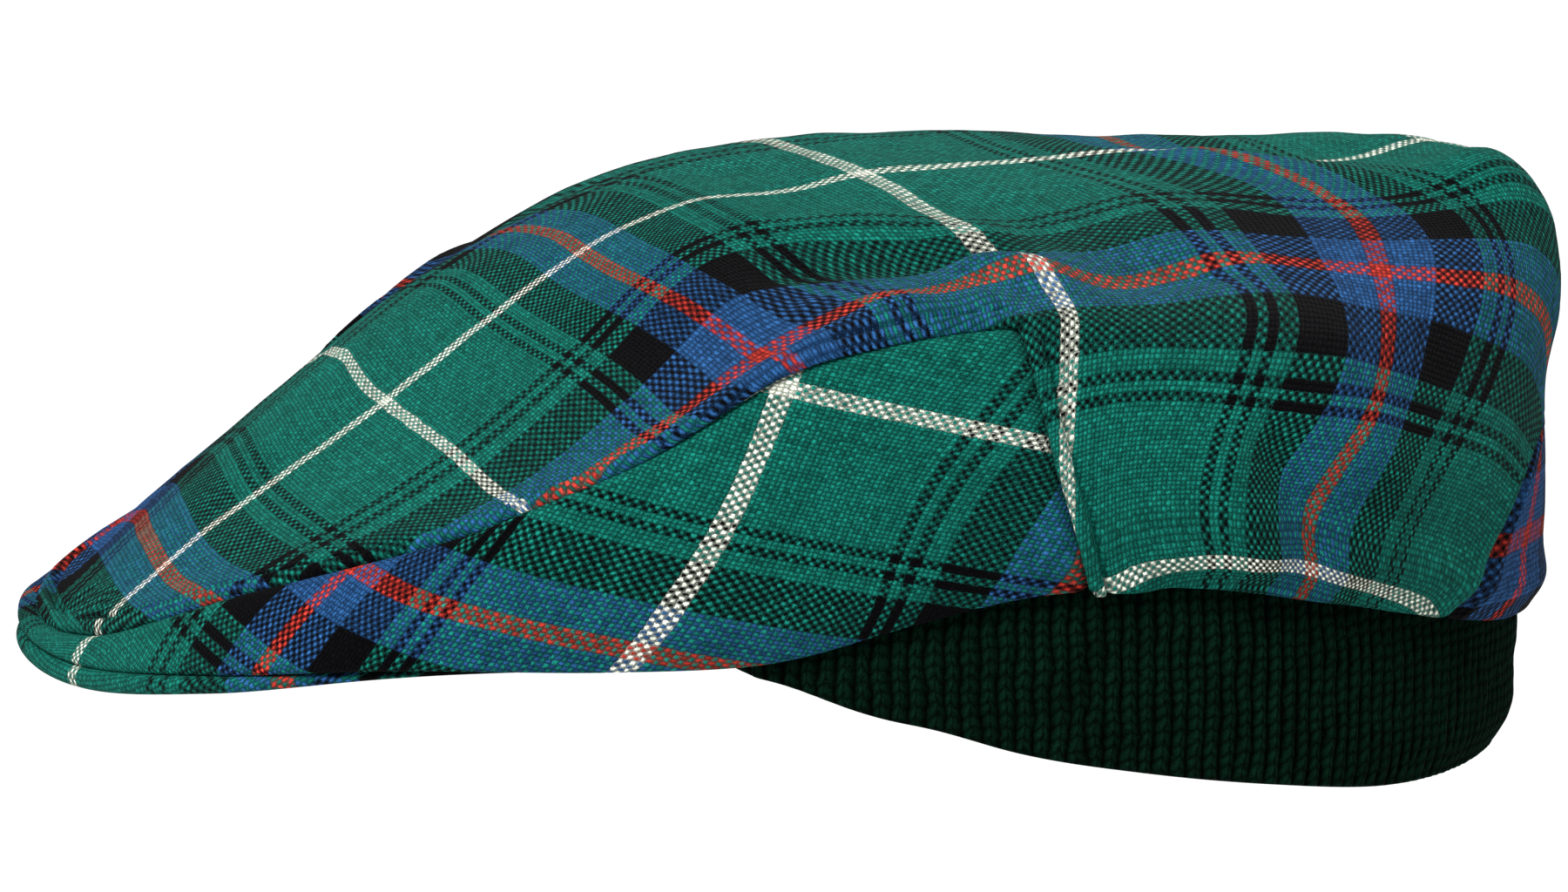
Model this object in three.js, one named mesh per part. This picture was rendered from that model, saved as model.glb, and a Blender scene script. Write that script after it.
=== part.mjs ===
import * as THREE from 'three';

// A tartan flat cap with a knitted ear band, in millimetres with +Z up.
// The peak points to -Y and the wearer's left is +X.
// The origin is the middle of the head opening, level with the hem.

// Driving sizes
const CLOTH_THICKNESS = 2.0;
const SEAM_GAP = 0.35;
const SEAM_ALLOWANCE = 0.6; // from the top panel's edge down to the band's edge
const CROWN_HEIGHT = 66.3;
const CROWN_LEAN = 0.13; // sink of the soft top for each millimetre to the wearer's left
const LEAN_LEVELS = [0.55, 1.1]; // levels where the lean starts to fade and where it has gone
const FRONT_TWIST = 0.15; // rise of the front seam for each millimetre to the wearer's left
const TWIST_REACH = 32; // degrees either side of the tip
const SEAM_AZIMUTH = 64.5; // degrees from the tip to the top of the upright seam
const SEAM_SLANT = 7.5; // degrees that the upright seam runs back on its way to the hem
const SLANT_REACH = 20;
const DART_DEPTH = 1.2;
const DART_WIDTH = 3.2;
const DART_REACH = 16; // how far inside the dart's line the cloth still feels it
const MITRE_LIMIT = 0.6; // the sharpest seam corner that is mitred in full

const KNIT_THICKNESS = 2.2;
const KNIT_GAP = 0.5;
const KNIT_INSET = 3.2; // how far the knit's lower edge lies inside the hem line
const KNIT_TUCK = 14; // how far the knit reaches up inside the crown
const KNIT_START = 42; // degrees from the tip to the knit's front end
const RIB_PITCH = 3.6;
const RIB_DEPTH = 0.9;

const PEAK_REACH = 39; // degrees from the tip to the end of each horn
const PEAK_INNER_RADIUS = 97;
const PEAK_INNER_HEIGHT = 5;
const PEAK_BOARD = 2.4;
const HORN_WIDTH = 5;
const HORN_TAPER = 2.2;
const NOSE_ANGLES = [60, 0, -60]; // where the lip's rounded front has its points

// The shape of the cap, a row for each direction round the head, 0 at the tip and 180 at the back:
// radius and height of the crest of the top, of the seam or shoulder, of the middle of the wall and
// of the hem; roll, 0 where the shoulder is a crisp seam and 1 where cloth rolls over it; the height
// of the knit's lower edge; and the lip, how far it stands out past the hem, how far it rises inside
// the band and how thick it is.
const SECTION_COLUMNS = ['azimuth', 'crestR', 'crestZ', 'seamR', 'seamZ', 'wallR', 'wallZ',
  'hemR', 'hemZ', 'roll', 'knitZ', 'lipOut', 'lipRise', 'lip'];
const SECTIONS = [
  [0, 57, 61, 161, -3, 162.9, -5.4, 164.5, -7.8, 0, -7.8, 0.8, 0, 3.5],
  [14, 56, 61, 154.6, 3.2, 159.6, -0.8, 163.2, -5.2, 0, -5.2, 0.7, 0, 2.7],
  [25, 55, 61, 142, 11.9, 150, 5, 155.6, -2.4, 0, -2.4, -3.2, 0, 1.4],
  [35, 54, 61, 121.6, 25.8, 127.5, 10.5, 131.5, -4.2, 0, -4.2, -3.6, 1.5, 1.4],
  [44, 53, 61.3, 108.3, 39.9, 112, 18.5, 112.5, -5, 0, -8.2, -3.6, 1.5, 1.4],
  [54, 52, 61.5, 97, 45.7, 102.5, 23, 100.5, -0.6, 0, -15.4, -3.6, 1.5, 1.4],
  [64.5, 50, 61.8, 90, 47.8, 96.3, 23, 93.5, 3.2, 0.3, -21.6, -3.6, 1.5, 1.4],
  [78, 50, 61.5, 85, 46.4, 94.5, 22, 89.2, 3.6, 1, -25.8, -3.6, 1.5, 1.4],
  [95, 50, 61.3, 83, 45, 92.7, 21, 87.6, 0.9, 1, -29.5, -3.6, 1.5, 1.4],
  [115, 52, 61.5, 83, 44.5, 92, 21, 87.5, -4.5, 1, -32.8, -3.6, 1.5, 1.4],
  [138, 56, 62.5, 88, 51, 94.5, 25, 91.5, -9.5, 1, -33.6, -3.6, 1.5, 1.4],
  [158, 62, 65, 94.5, 60, 96.6, 28, 96.7, -10.5, 1, -33.6, -3.6, 1.5, 1.4],
  [180, 62, 66.5, 94, 64, 97.5, 28, 98, -10.5, 1, -33.6, -3.6, 1.5, 1.4],
];

// The soft folds and dents, a row for each: the two ends of its ridge, its width and its height.
const FOLD_COLUMNS = ['x0', 'y0', 'z0', 'x1', 'y1', 'z1', 'width', 'height'];
const FOLDS = [
  [66, -57, 47, 60, -21, 54, 9, 3],
  [66, -14, 47, 58, 6, 50, 8, -3],
  [24, -50, 58, 38, -36, 56, 10, -2.2],
  [-12, -40, 63, 12, -40, 61, 11, -1.6],
  [-64, -40, 56, -66, -8, 55, 10, 2.4],
  [-62, 14, 56, -66, 34, 54, 9, -2.4],
  [88, 4, 11, 86, 14, 2, 7, 1.6],
  [-88, -6, 11, -87, 6, 2, 8, 1.4],
];

// The dart between each back wing and the tail, from just above the hem up to its point.
const DART = { hemAzimuth: 130, hemZ: 1, pointAzimuth: 164, pointZ: 34 };

const radians = THREE.MathUtils.degToRad;

function table(rows, columns) {
  return rows.map((row) => Object.fromEntries(columns.map((name, k) => [name, row[k]])));
}

const sections = table(SECTIONS, SECTION_COLUMNS);
const folds = table(FOLDS, FOLD_COLUMNS).map((fold) => ({
  ridge: new THREE.Line3(
    new THREE.Vector3(fold.x0, fold.y0, fold.z0),
    new THREE.Vector3(fold.x1, fold.y1, fold.z1),
  ),
  width: fold.width,
  height: fold.height,
}));

// Slope of a column at a row, level at the tip and at the back because the two sides mirror there.
function columnSlope(name, k) {
  if (k === 0 || k === sections.length - 1) return 0;
  const before = sections[k - 1];
  const after = sections[k + 1];
  return (after[name] - before[name]) / (after.azimuth - before.azimuth);
}

// A column's value in any direction, on a smooth curve through the rows.
function sectionValue(name, azimuth) {
  const turned = Math.abs(((azimuth + 180) % 360 + 360) % 360 - 180);
  let k = 0;
  while (k < sections.length - 2 && turned > sections[k + 1].azimuth) k += 1;
  const span = sections[k + 1].azimuth - sections[k].azimuth;
  const t = (turned - sections[k].azimuth) / span;
  return hermite(sections[k][name], sections[k + 1][name],
    columnSlope(name, k) * span, columnSlope(name, k + 1) * span, t);
}

function hermite(start, end, startSlope, endSlope, t) {
  const t2 = t * t;
  const t3 = t2 * t;
  return start * (2 * t3 - 3 * t2 + 1) + startSlope * (t3 - 2 * t2 + t)
    + end * (3 * t2 - 2 * t3) + endSlope * (t3 - t2);
}

function between(start, end, startWay, endWay, t) {
  const chord = start.distanceTo(end);
  return new THREE.Vector2(
    hermite(start.x, end.x, startWay.x * chord, endWay.x * chord, t),
    hermite(start.y, end.y, startWay.y * chord, endWay.y * chord, t),
  );
}

function way(from, to) {
  return to.clone().sub(from).normalize();
}

function corner(azimuth, name) {
  return new THREE.Vector2(sectionValue(`${name}R`, azimuth), sectionValue(`${name}Z`, azimuth));
}

// Radius and height of the cap's section in one direction.
// Level runs from 0 at the middle of the top to 1 at the seam or shoulder, 1.5 at the middle of the
// wall and 2 at the hem.
function profile(azimuth, level) {
  const pole = new THREE.Vector2(0, CROWN_HEIGHT);
  const crest = corner(azimuth, 'crest');
  const seam = corner(azimuth, 'seam');
  const wall = corner(azimuth, 'wall');
  const hem = corner(azimuth, 'hem');
  const down = way(crest, seam);
  const drop = way(seam, wall);
  const roll = down.clone().add(drop).normalize();
  const rolled = sectionValue('roll', azimuth);
  const overCrest = way(pole, crest).add(down).normalize();
  const crestShare = crest.x / seam.x;
  if (level < crestShare) {
    return between(pole, crest, new THREE.Vector2(1, 0), overCrest, level / crestShare);
  }
  if (level <= 1) {
    const end = down.clone().lerp(roll, rolled);
    return between(crest, seam, overCrest, end, (level - crestShare) / (1 - crestShare));
  }
  const alongWall = way(seam, hem);
  if (level < 1.5) {
    return between(seam, wall, drop.clone().lerp(roll, rolled), alongWall, (level - 1) * 2);
  }
  return between(wall, hem, alongWall, way(wall, hem), (level - 1.5) * 2);
}

// A line that leans back on its way down, so that one column of points lies along the upright seam.
function slantedAzimuth(azimuth, level) {
  const side = Math.sign(azimuth > 180 ? azimuth - 360 : azimuth);
  const turned = azimuth > 180 ? 360 - azimuth : Math.abs(azimuth);
  const near = Math.exp(-(((turned - SEAM_AZIMUTH) / SLANT_REACH) ** 2));
  return azimuth + side * SEAM_SLANT * near * Math.max(0, level - 1);
}

function roundHead(radius, azimuth, height) {
  const angle = radians(azimuth);
  return new THREE.Vector3(radius * Math.sin(angle), -radius * Math.cos(angle), height);
}

// The outer face before folds: the section, the lean of the top and the twist of the front seam.
function plainSkin(azimuth, level) {
  const around = slantedAzimuth(azimuth, level);
  const at = profile(around, level);
  const point = roundHead(at.x, around, at.y);
  const lean = CROWN_LEAN * (1 - THREE.MathUtils.smoothstep(level, ...LEAN_LEVELS));
  const tip = ((around + 180) % 360 + 360) % 360 - 180;
  const nearSeam = level < 1 ? Math.max(0, 2 * level - 1) : 2 - level;
  const nearTip = Math.exp(-((tip / TWIST_REACH) ** 2)) * nearSeam;
  point.z += point.x * (FRONT_TWIST * nearTip - lean);
  return point;
}

// Outward direction of a surface given by a function of azimuth and level.
function outward(surface, azimuth, level) {
  const step = 0.02;
  const turn = 0.5;
  const low = Math.max(level - step, step);
  const high = Math.min(Math.max(level, step) + step, 2);
  const along = surface(azimuth, high).sub(surface(azimuth, low));
  const around = surface(azimuth + turn, Math.max(level, step))
    .sub(surface(azimuth - turn, Math.max(level, step)));
  return around.cross(along).normalize().negate();
}

// How far the folds and the darts move a point of the skin outwards.
function foldHeight(point) {
  const nearest = new THREE.Vector3();
  let height = 0;
  for (const fold of folds) {
    const far = fold.ridge.closestPointToPoint(point, true, nearest).distanceTo(point);
    height += fold.height * Math.exp(-((far / fold.width) ** 2));
  }
  return height - dartDepth(point);
}

function dartLine(side) {
  const end = (azimuth, height) => roundHead(sectionValue('wallR', azimuth), side * azimuth, height);
  return new THREE.Line3(end(DART.hemAzimuth, DART.hemZ), end(DART.pointAzimuth, DART.pointZ));
}

const darts = [dartLine(1), dartLine(-1)];

// The darts follow the round wall, so only the height above their straight line counts.
function dartDepth(point) {
  let depth = 0;
  for (const dart of darts) {
    const along = dart.closestPointToPointParameter(point, true);
    const at = dart.at(along, new THREE.Vector3());
    const flat = new THREE.Vector2(point.x - at.x, point.y - at.y);
    const outwards = new THREE.Vector2(at.x, at.y).normalize();
    const sideways = flat.x * outwards.y - flat.y * outwards.x;
    const far = Math.hypot(sideways, point.z - at.z);
    const facing = flat.dot(outwards) > -DART_REACH ? 1 : 0;
    depth += facing * DART_DEPTH * Math.exp(-((far / DART_WIDTH) ** 2));
  }
  return depth;
}

function skin(azimuth, level) {
  const point = plainSkin(azimuth, level);
  const height = foldHeight(point);
  return point.addScaledVector(outward(plainSkin, azimuth, level), height);
}

// From a point of the skin to the inner face.
function inwardStep(azimuth, level) {
  return outward(skin, azimuth, level).multiplyScalar(-CLOTH_THICKNESS);
}

// The same at the seam, where it halves the corner so that the two cloths meet face to face.
function seamStep(azimuth) {
  const beside = 0.03;
  const above = outward(skin, azimuth, 1 - beside);
  const below = outward(skin, azimuth, 1 + beside);
  const half = above.clone().add(below).normalize();
  return half.multiplyScalar(-CLOTH_THICKNESS / Math.max(half.dot(above), MITRE_LIMIT));
}

// The level just under the seam where the band starts.
function underSeam(azimuth) {
  const upperWall = corner(azimuth, 'seam').distanceTo(corner(azimuth, 'wall'));
  return 1 + (0.5 * SEAM_ALLOWANCE) / upperWall;
}

// A closed wall over a patch of quads: an outer face, an inner face and a rim on every free edge.
function wallGeometry(outer, inner, quads) {
  const lift = outer.length;
  const index = [];
  const free = new Map();
  const triangle = (a, b, c) => {
    if (a !== b && b !== c && c !== a) index.push(a, b, c);
  };
  for (const quad of quads) {
    const [a, b, c, d] = quad;
    triangle(a, b, c);
    triangle(a, c, d);
    triangle(lift + c, lift + b, lift + a);
    triangle(lift + d, lift + c, lift + a);
    quad.forEach((from, k) => {
      const to = quad[(k + 1) % quad.length];
      if (from === to) return;
      if (!free.delete(`${to} ${from}`)) free.set(`${from} ${to}`, [from, to]);
    });
  }
  for (const [from, to] of free.values()) {
    triangle(to, from, lift + from);
    triangle(to, lift + from, lift + to);
  }
  const solid = new THREE.BufferGeometry().setFromPoints([...outer, ...inner]);
  solid.setIndex(index);
  return solid.toNonIndexed();
}

// Collects the points and quads of a patch of the skin, each point once.
class ClothPatch {
  constructor() {
    this.outer = [];
    this.inner = [];
    this.quads = [];
    this.known = new Map();
  }

  // A row is a level, or a function that gives the level along the seam.
  point(azimuth, row) {
    const turned = (azimuth + 360) % 360;
    const key = row === 0 ? 'pole' : `${turned.toFixed(3)} ${row.name ?? row}`;
    if (!this.known.has(key)) {
      const alongSeam = row === 1 || row === underSeam;
      const level = row === underSeam ? underSeam(turned) : row;
      const point = skin(turned, level);
      const step = alongSeam ? seamStep(turned) : inwardStep(turned, level);
      this.known.set(key, this.outer.length);
      this.outer.push(point);
      this.inner.push(point.clone().add(step));
    }
    return this.known.get(key);
  }

  fill(azimuths, rows) {
    for (let i = 0; i + 1 < azimuths.length; i += 1) {
      for (let j = 0; j + 1 < rows.length; j += 1) {
        this.quads.push([
          this.point(azimuths[i], rows[j]),
          this.point(azimuths[i], rows[j + 1]),
          this.point(azimuths[i + 1], rows[j + 1]),
          this.point(azimuths[i + 1], rows[j]),
        ]);
      }
    }
  }

  geometry() {
    return wallGeometry(this.outer, this.inner, this.quads);
  }
}

function steps(start, end, count) {
  return Array.from({ length: count + 1 }, (_, k) => start + ((end - start) * k) / count);
}

const FRONT_COLUMNS = 36;
const BACK_COLUMNS = 58;
const TOP_LEVELS = [0, 0.14, 0.28, 0.42, 0.54, 0.66, 0.77, 0.87, 0.94, 1];
const WALL_LEVELS = [1, 1.08, 1.18, 1.3, 1.45, 1.6, 1.75, 1.88, 2];

const frontAzimuths = steps(-SEAM_AZIMUTH, SEAM_AZIMUTH, FRONT_COLUMNS);
const backAzimuths = steps(SEAM_AZIMUTH, 360 - SEAM_AZIMUTH, BACK_COLUMNS);

function topPanel() {
  const patch = new ClothPatch();
  patch.fill(frontAzimuths, TOP_LEVELS);
  patch.fill(backAzimuths, TOP_LEVELS);
  patch.fill(backAzimuths, WALL_LEVELS);
  return patch.geometry();
}

// The band keeps a small gap from the top panel along the seam and along both upright seams.
function sideBand() {
  const patch = new ClothPatch();
  const uprightGap = THREE.MathUtils.radToDeg(SEAM_GAP / sectionValue('seamR', SEAM_AZIMUTH));
  const inside = SEAM_AZIMUTH - uprightGap;
  const azimuths = [-inside, ...frontAzimuths.slice(1, -1), inside];
  patch.fill(azimuths, [underSeam, ...WALL_LEVELS.slice(1)]);
  return patch.geometry();
}

// A closed solid through a row of rings with equal numbers of points, capped at both ends.
function ringSolid(rings) {
  const count = rings[0].length;
  const points = rings.flat();
  const index = [];
  for (let i = 0; i + 1 < rings.length; i += 1) {
    for (let j = 0; j < count; j += 1) {
      const here = i * count + j;
      const next = i * count + ((j + 1) % count);
      index.push(here, next, here + count, next, next + count, here + count);
    }
  }
  const last = (rings.length - 1) * count;
  for (let j = 1; j + 1 < count; j += 1) {
    index.push(0, j + 1, j);
    index.push(last, last + j, last + j + 1);
  }
  return new THREE.BufferGeometry().setFromPoints(points).setIndex(index);
}

// The peak's section: a board that thickens into the rounded lip under the hem.
function peakRing(azimuth) {
  const hem = corner(azimuth, 'hem');
  const lip = sectionValue('lip', azimuth);
  const innerHem = hem.y + Math.min(0, inwardStep(azimuth, 2).z);
  const top = innerHem - SEAM_GAP + sectionValue('lipRise', azimuth);
  const noseRadius = lip / 2;
  const noseMiddle = hem.x + sectionValue('lipOut', azimuth) - noseRadius;
  const underHem = noseMiddle - CLOTH_THICKNESS - 2 * SEAM_GAP;
  const taper = (Math.abs(azimuth) / PEAK_REACH) ** HORN_TAPER;
  const innerRadius = THREE.MathUtils.lerp(PEAK_INNER_RADIUS, underHem - HORN_WIDTH, taper);
  const innerTop = THREE.MathUtils.lerp(PEAK_INNER_HEIGHT, top, taper);
  const board = THREE.MathUtils.lerp(PEAK_BOARD, lip, taper);
  const midRadius = (innerRadius + underHem) / 2;
  const midTop = (innerTop + top) / 2;
  const nose = NOSE_ANGLES.map((angle) => [
    noseMiddle + noseRadius * Math.cos(radians(angle)),
    top - noseRadius + noseRadius * Math.sin(radians(angle)),
  ]);
  const outline = [
    [underHem, top], ...nose, [underHem, top - lip], [midRadius, midTop - (board + lip) / 2],
    [innerRadius, innerTop - board], [innerRadius, innerTop], [midRadius, midTop],
  ];
  return outline.map(([radius, height]) => roundHead(radius, azimuth, height));
}

function peak() {
  const columns = 40;
  return ringSolid(steps(-PEAK_REACH, PEAK_REACH, columns).map(peakRing));
}

// Azimuths at equal steps along the hem line, so that every rib is as wide as the next.
function evenAzimuths(start, end, pitch) {
  const fineSteps = 720;
  const fine = steps(start, end, fineSteps);
  const lengths = [0];
  for (let k = 1; k < fine.length; k += 1) {
    const from = roundHead(sectionValue('hemR', fine[k - 1]), fine[k - 1], 0);
    const to = roundHead(sectionValue('hemR', fine[k]), fine[k], 0);
    lengths.push(lengths[k - 1] + from.distanceTo(to));
  }
  const total = lengths[lengths.length - 1];
  const count = 2 * Math.round(total / pitch);
  let k = 0;
  return steps(0, total, count).map((length) => {
    while (k < fine.length - 2 && length > lengths[k + 1]) k += 1;
    const t = (length - lengths[k]) / (lengths[k + 1] - lengths[k]);
    return THREE.MathUtils.lerp(fine[k], fine[k + 1], t);
  });
}

// The ribbed knit, a corrugated wall that hangs from inside the crown to below the hem.
function earBand() {
  const shares = [0, 0.3, 0.6, 1];
  const azimuths = evenAzimuths(KNIT_START, 360 - KNIT_START, RIB_PITCH);
  const outer = [];
  const inner = [];
  const quads = [];
  azimuths.forEach((azimuth, i) => {
    const hem = corner(azimuth, 'hem');
    const wall = corner(azimuth, 'wall');
    const closeIn = (Math.max(0, hem.x - wall.x) * KNIT_TUCK) / (wall.y - hem.y);
    const topInset = CLOTH_THICKNESS + KNIT_GAP + closeIn;
    const groove = i % 2 === 0 ? 0 : RIB_DEPTH;
    const top = hem.y + KNIT_TUCK;
    const bottom = sectionValue('knitZ', azimuth);
    shares.forEach((share, j) => {
      const inset = THREE.MathUtils.lerp(topInset, KNIT_INSET, share);
      const radius = hem.x - inset - groove;
      const height = THREE.MathUtils.lerp(top, bottom, share);
      outer.push(roundHead(radius, azimuth, height));
      inner.push(roundHead(radius - KNIT_THICKNESS, azimuth, height));
      if (i > 0 && j > 0) {
        const here = i * shares.length + j;
        const back = here - shares.length;
        quads.push([back - 1, back, here, here - 1]);
      }
    });
  });
  return wallGeometry(outer, inner, quads);
}

const tartan = { color: 0x1f6f55, roughness: 0.92, metalness: 0 };
const knit = { color: 0x06301f, roughness: 0.96, metalness: 0 };

const PIECES = [
  ['top_panel', topPanel, tartan],
  ['side_band', sideBand, tartan],
  ['peak', peak, tartan],
  ['ear_band', earBand, knit],
];

const cap = new THREE.Group();
cap.name = 'flat_cap';
for (const [name, shape, finish] of PIECES) {
  const geometry = shape();
  geometry.computeVertexNormals();
  const mesh = new THREE.Mesh(geometry, new THREE.MeshStandardMaterial(finish));
  mesh.name = name;
  cap.add(mesh);
}

export default cap;
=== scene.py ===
import math

import bmesh
import bpy
import numpy as np
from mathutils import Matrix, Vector, noise


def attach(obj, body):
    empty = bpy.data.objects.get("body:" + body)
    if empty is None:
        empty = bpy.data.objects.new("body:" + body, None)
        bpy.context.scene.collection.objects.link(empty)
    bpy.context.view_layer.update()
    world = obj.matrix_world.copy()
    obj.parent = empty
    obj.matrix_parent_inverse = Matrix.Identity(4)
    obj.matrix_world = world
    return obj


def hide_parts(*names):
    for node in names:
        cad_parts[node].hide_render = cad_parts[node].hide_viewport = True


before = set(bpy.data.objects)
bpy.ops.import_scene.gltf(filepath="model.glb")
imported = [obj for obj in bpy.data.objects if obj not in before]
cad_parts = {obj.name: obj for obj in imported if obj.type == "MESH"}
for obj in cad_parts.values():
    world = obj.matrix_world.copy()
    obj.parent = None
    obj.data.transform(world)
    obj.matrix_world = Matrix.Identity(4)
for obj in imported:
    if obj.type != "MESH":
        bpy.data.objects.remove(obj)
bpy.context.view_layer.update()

# A tartan flat cap with a knitted ear band. Sizes are in millimetres, and each mesh is made in metres.
# The peak points to -Y, the wearer's left is +X and +Z is up.
METRES = 0.001

# Shape of the cap, as in the part's source
CROWN_HEIGHT = 66.3
CROWN_LEAN = 0.13
LEAN_LEVELS = (0.55, 1.1)
FRONT_TWIST = 0.15
TWIST_REACH = 32.0
SEAM_AZIMUTH = 64.5
SEAM_SLANT = 7.5
SLANT_REACH = 20.0
SEAM, WALL, HEM = 1.0, 1.5, 2.0  # levels of the seam or shoulder, the middle of the wall and the hem

SECTION_COLUMNS = ("azimuth", "crest_r", "crest_z", "seam_r", "seam_z", "wall_r", "wall_z",
                   "hem_r", "hem_z", "roll", "knit_z", "lip_out", "lip_rise", "lip")
SECTIONS = np.array([
    (0, 57, 61, 161, -3, 162.9, -5.4, 164.5, -7.8, 0, -7.8, 0.8, 0, 3.5),
    (14, 56, 61, 154.6, 3.2, 159.6, -0.8, 163.2, -5.2, 0, -5.2, 0.7, 0, 2.7),
    (25, 55, 61, 142, 11.9, 150, 5, 155.6, -2.4, 0, -2.4, -3.2, 0, 1.4),
    (35, 54, 61, 121.6, 25.8, 127.5, 10.5, 131.5, -4.2, 0, -4.2, -3.6, 1.5, 1.4),
    (44, 53, 61.3, 108.3, 39.9, 112, 18.5, 112.5, -5, 0, -8.2, -3.6, 1.5, 1.4),
    (54, 52, 61.5, 97, 45.7, 102.5, 23, 100.5, -0.6, 0, -15.4, -3.6, 1.5, 1.4),
    (64.5, 50, 61.8, 90, 47.8, 96.3, 23, 93.5, 3.2, 0.3, -21.6, -3.6, 1.5, 1.4),
    (78, 50, 61.5, 85, 46.4, 94.5, 22, 89.2, 3.6, 1, -25.8, -3.6, 1.5, 1.4),
    (95, 50, 61.3, 83, 45, 92.7, 21, 87.6, 0.9, 1, -29.5, -3.6, 1.5, 1.4),
    (115, 52, 61.5, 83, 44.5, 92, 21, 87.5, -4.5, 1, -32.8, -3.6, 1.5, 1.4),
    (138, 56, 62.5, 88, 51, 94.5, 25, 91.5, -9.5, 1, -33.6, -3.6, 1.5, 1.4),
    (158, 62, 65, 94.5, 60, 96.6, 28, 96.7, -10.5, 1, -33.6, -3.6, 1.5, 1.4),
    (180, 62, 66.5, 94, 64, 97.5, 28, 98, -10.5, 1, -33.6, -3.6, 1.5, 1.4),
])

# Soft folds and dents: the two ends of the ridge, its width and its height
FOLDS = np.array([
    (66, -57, 47, 60, -21, 54, 9, 3),
    (66, -14, 47, 58, 6, 50, 8, -3),
    (24, -50, 58, 38, -36, 56, 10, -2.2),
    (-12, -40, 63, 12, -40, 61, 11, -1.6),
    (-64, -40, 56, -66, -8, 55, 10, 2.4),
    (-62, 14, 56, -66, 34, 54, 9, -2.4),
    (88, 4, 11, 86, 14, 2, 7, 1.6),
    (-88, -6, 11, -87, 6, 2, 8, 1.4),
])

# Smaller folds of the sewn cloth, in the same columns: the crown's shoulder, the puffs over the seam,
# the gathers above the hem and the back corner of the top.
SMALL_FOLDS = np.array([
    (17.5, -50.3, 57.4, 40.5, -23.9, 56.7, 6.5, 1.9),
    (33, -55, 51.5, 54, -25, 55, 6, -2.1),
    (52, -59, 47.5, 54, -57, 47.8, 5, 1.3),
    (68, -55, 49.5, 70, -52, 49.6, 5, 1.3),
    (61, -34, 53.5, 66, -28, 53, 6.5, 2.3),
    (69.5, -61, 47.6, 72, -58, 48, 4, -1.0),
    (72, -49, 48.8, 74, -46, 49, 4.5, -1.1),
    (91.3, 9.3, 9.3, 93, 2, 24, 5, -1.9),
    (90.9, -2, 8.5, 93.4, -6.9, 22, 5, 1.6),
    (87, 27, 10, 89, 24, 27, 6, 0.9),
    (90, -22, 12, 93, -24, 30, 7, -0.7),
    (4, 42, 66, 38, 78, 61.5, 7, 1.5),
    (-8, 42, 67.5, 8, 80, 67, 9, -1.8),
    (7, 82, 67, 30, 82, 64, 9, 2.4),
    (33, 80, 63, 36, 80, 62, 7, 2.0),
    (42, 85, 54, 48, 83, 42, 8, 1.5),
])
# The right side carries the puffs and gathers of the left, a little further back.
PUFFS_AND_GATHERS = slice(4, 11)
MIRROR, FURTHER_BACK = (-1, 1, 1, -1, 1, 1, 1, 1), (0, 6, 0, 0, 6, 0, 0, 0)
RIGHT_FOLDS = SMALL_FOLDS[PUFFS_AND_GATHERS] * MIRROR + FURTHER_BACK

# Cloth and sewing
CLOTH = 1.2  # thickness of the woven cloth
SEAM_ROLL = 0.9  # radius of the turned edge along the top seam and the upright seams
HEM_ROLL = 1.5
HEM_TUCK = 7.0  # how far the turned hem reaches up inside
SEAM_TUCK, UPRIGHT_TUCK = 0.8, 0.4  # how far the seams' turned edges reach back inside
BAND_ROLL, BAND_TUCK = 1.0, 3.0
BAND_UNDER = 1.0  # degrees that the band runs on under each wing
TURN_STEPS, TUCK_STEPS = 8, 3  # mesh rows round a turned edge and along its inside
DART_LEVELS = (1.545, 2.0)  # from the dart's point down to the hem
DART_POINT, DART_HEM = 150.0, 123.8  # azimuth of the dart at its point and at the hem
DART_CURVE, DART_SLANT = 0.3, 0.8
# Where the peak's twist draws the seam down at the right of the tip, in degrees, and how far in levels
FAR_SEAM_AZIMUTH, FAR_SEAM_REACH, FAR_SEAM_DROP = -17.0, 13.0, 0.62
FAR_SEAM_START = (1, 9)
FAR_SEAM_LEVEL, FAR_SEAM_SPAN = 0.7, 0.3  # the top's rows spread from here down to the lower seam
JUST_ABOVE = 0.02  # levels above an edge, where its outward way is taken

# Ridges and grooves beside a sewn edge: height, distance from the edge and width
SEAM_EDGE, SEAM_STITCHES, SEAM_PUFF = (0.6, 1.1, 0.9), (-1.4, 2.4, 0.6), (1.0, 6.5, 4.0)
STRIP_STITCHES = (-1.5, 2.5, 0.55)
DART_PUFF, DART_GROOVE = (0.7, 3.2, 2.2), (-1.3, 0, 1.0)
WING_PUFF, WING_CURL = (1.0, 6.5, 3.5), (-2.0, 0, 3.2)
BAND_PUFF, BAND_CURL, BAND_SEAM = (0.5, 6, 3.5), (-1.2, 0, 3.0), (-1.8, 0, 1.8)
SIDE_PUFF, SIDE_PUFF_FROM = (0.4, 1.4), (30, 52)  # the puff at the tip, and what the sides add
STRIP_EDGE, STRIP_LEVELS = (1.6, 2.4), (SEAM + 0.02, SEAM + 0.16)  # the strip by the upright seam
BAND_SINK, BAND_SINK_EDGE = 2.3, (-1.0, 3.0)  # the band lies deeper under the wing
# Azimuths over which the band softens, the front's seam ends and the wing's hem starts, and the levels
# over which the dart starts
BAND_SIDE = (16, 30)
FRONT_END, WING_START = (SEAM_AZIMUTH - 4, SEAM_AZIMUTH + 1), (SEAM_AZIMUTH + 4, SEAM_AZIMUTH + 12)
DART_START = (DART_LEVELS[0] - 0.04, DART_LEVELS[0] + 0.1)
# Unevenness of soft cloth: height, size of the bumps and seed
TOP_SOFTNESS = ((0.55, 26.0, 3.1), (0.25, 9.0, 7.7))
BAND_SOFTNESS = ((0.7, 24.0, 5.3), (0.2, 8.0, 1.9))

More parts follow.
